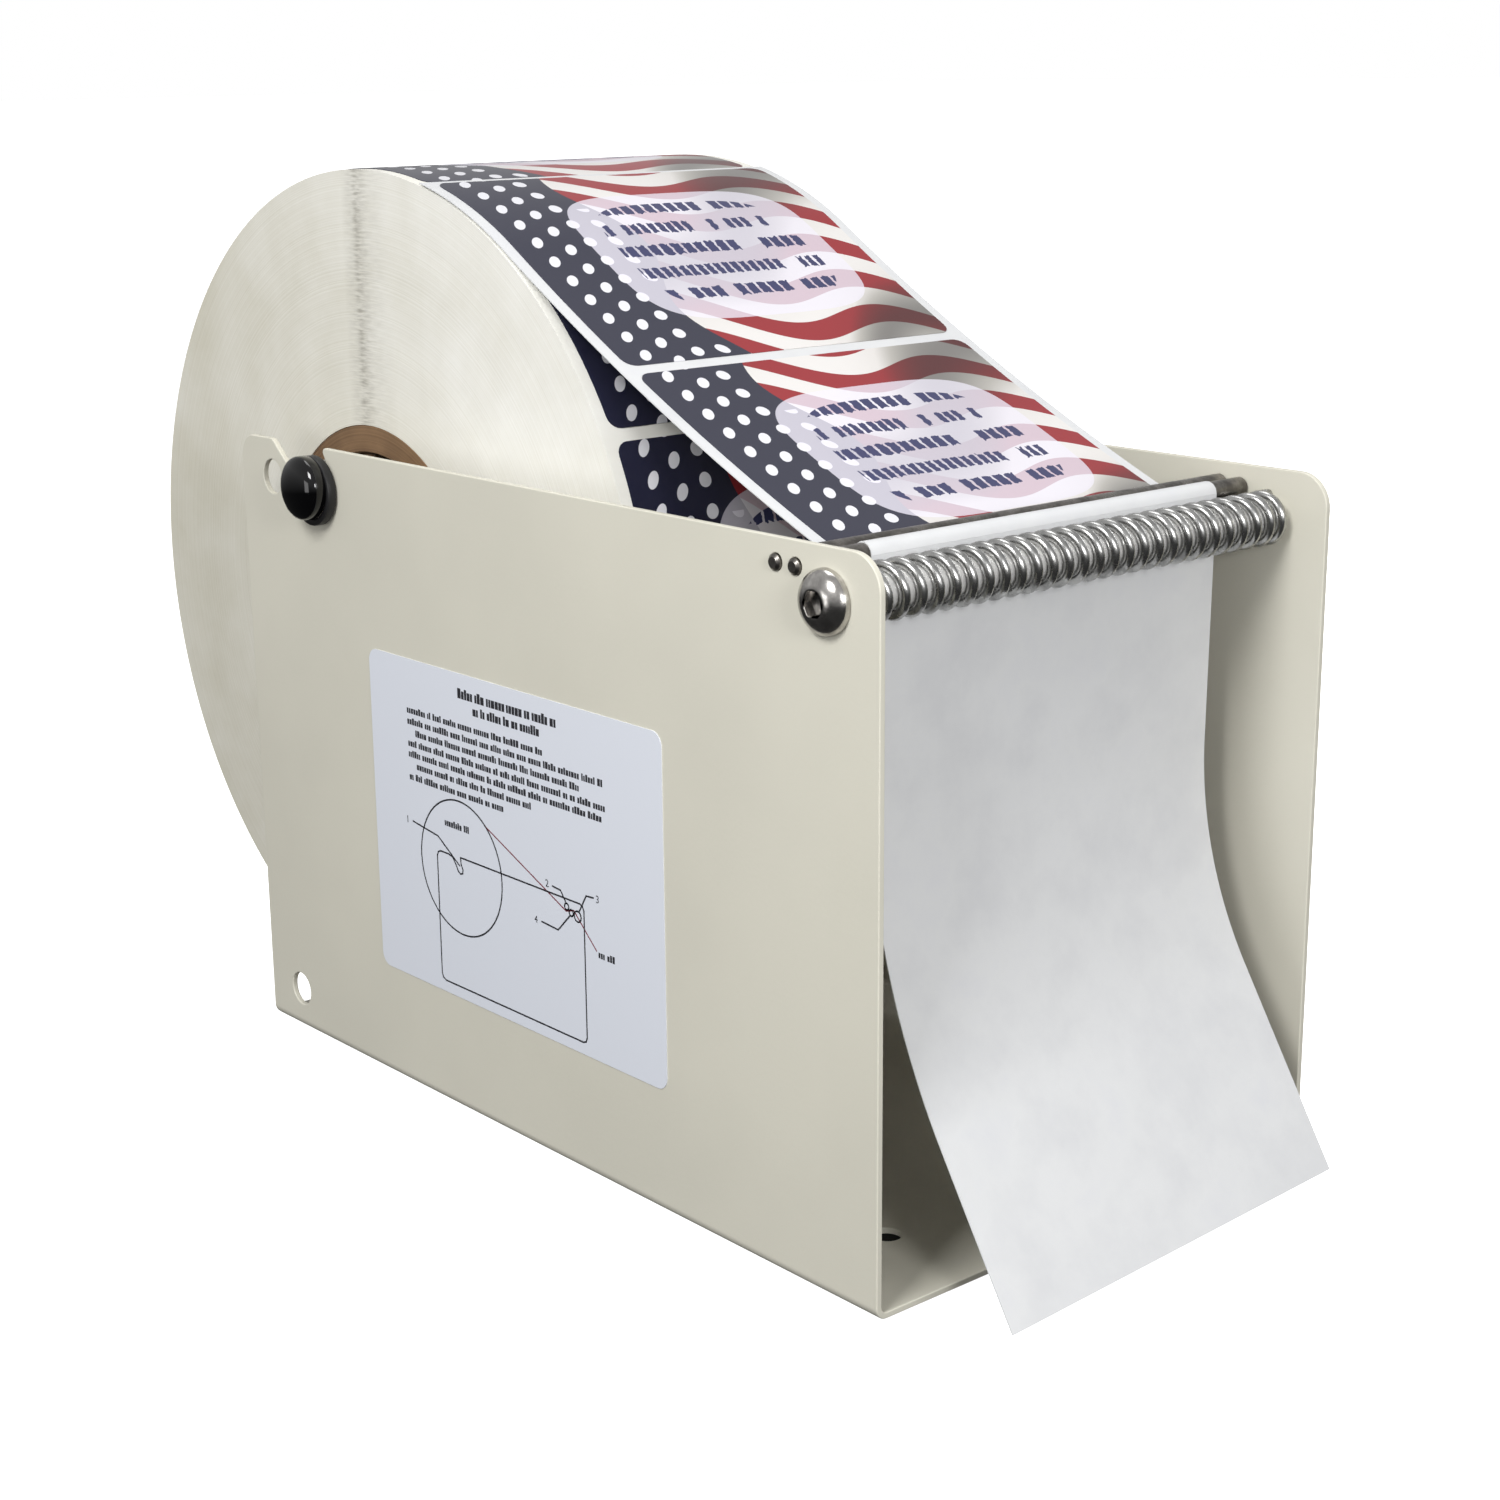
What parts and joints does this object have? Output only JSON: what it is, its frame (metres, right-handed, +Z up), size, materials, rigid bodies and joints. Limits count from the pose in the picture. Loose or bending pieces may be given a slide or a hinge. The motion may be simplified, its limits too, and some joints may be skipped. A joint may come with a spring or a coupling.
{
  "type": "label dispenser",
  "caption": "Manual desk dispenser for rolls of die-cut labels: a bent steel channel with a roll on a lift-out shaft, two peel rods and a spring-covered shaft",
  "frame": {"origin": "Centre of the base's bottom face, on the surface that the machine stands on", "axes": "+X across the machine from the plate with the sticker to the other, +Y from the peel edge to the roll, +Z up"},
  "size_m": [0.1568, 0.3325, 0.2271],
  "materials": {
    "enamel_cream": "semi-gloss powder coat on bent sheet steel",
    "sticker_film": "satin printed film",
    "shaft_steel": "turned bright steel bar",
    "collar_black": "matt moulded plastic",
    "cap_black": "polished moulded plastic",
    "kraft_board": "wound kraft board",
    "wound_paper": "edges of wound paper layers",
    "label_paper": "coated paper label face",
    "liner_paper": "glazed release liner",
    "rod_steel": "ground steel bar",
    "spring_wire": "bright spring wire",
    "screw_steel": "polished stainless button-head screw"
  },
  "bodies": {
    "housing": {"housing": "enamel_cream", "instruction_label": "sticker_film", "liner_web": "liner_paper", "front_label": "label_paper", "second_label": "label_paper", "waste_liner": "liner_paper", "bottom_peel_bar": "rod_steel", "label_support_shaft": "rod_steel", "left_shaft_screw": "screw_steel", "right_shaft_screw": "screw_steel"},
    "core_shaft": {"core_support_shaft": "shaft_steel", "left_shaft_collar": "collar_black", "right_shaft_collar": "collar_black", "left_shaft_cap": "cap_black", "right_shaft_cap": "cap_black"},
    "roll": {"cardboard_core": "kraft_board", "label_roll": "wound_paper", "roll_labels": "label_paper"},
    "peel_shaft": {"top_peel_shaft": "rod_steel"},
    "spring": {"support_spring": "spring_wire"}
  },
  "joints": [
    {"name": "core_shaft_lift", "type": "slide", "parent": "housing", "child": "core_shaft", "axis": [0, 0.6626, 0.749], "range_m": [0, 0.03], "deforming": ["liner_web", "front_label", "second_label"]},
    {"name": "roll_turn", "type": "hinge", "parent": "core_shaft", "child": "roll", "pos_m": [0, 0.08195, 0.11905], "axis": [1, 0, 0], "continuous": true},
    {"name": "peel_shaft_turn", "type": "hinge", "parent": "housing", "child": "peel_shaft", "pos_m": [0, -0.08905, 0.1551], "axis": [1, 0, 0], "continuous": true},
    {"name": "spring_turn", "type": "hinge", "parent": "housing", "child": "spring", "pos_m": [0, -0.10415, 0.1493], "axis": [1, 0, 0], "continuous": true}
  ]
}
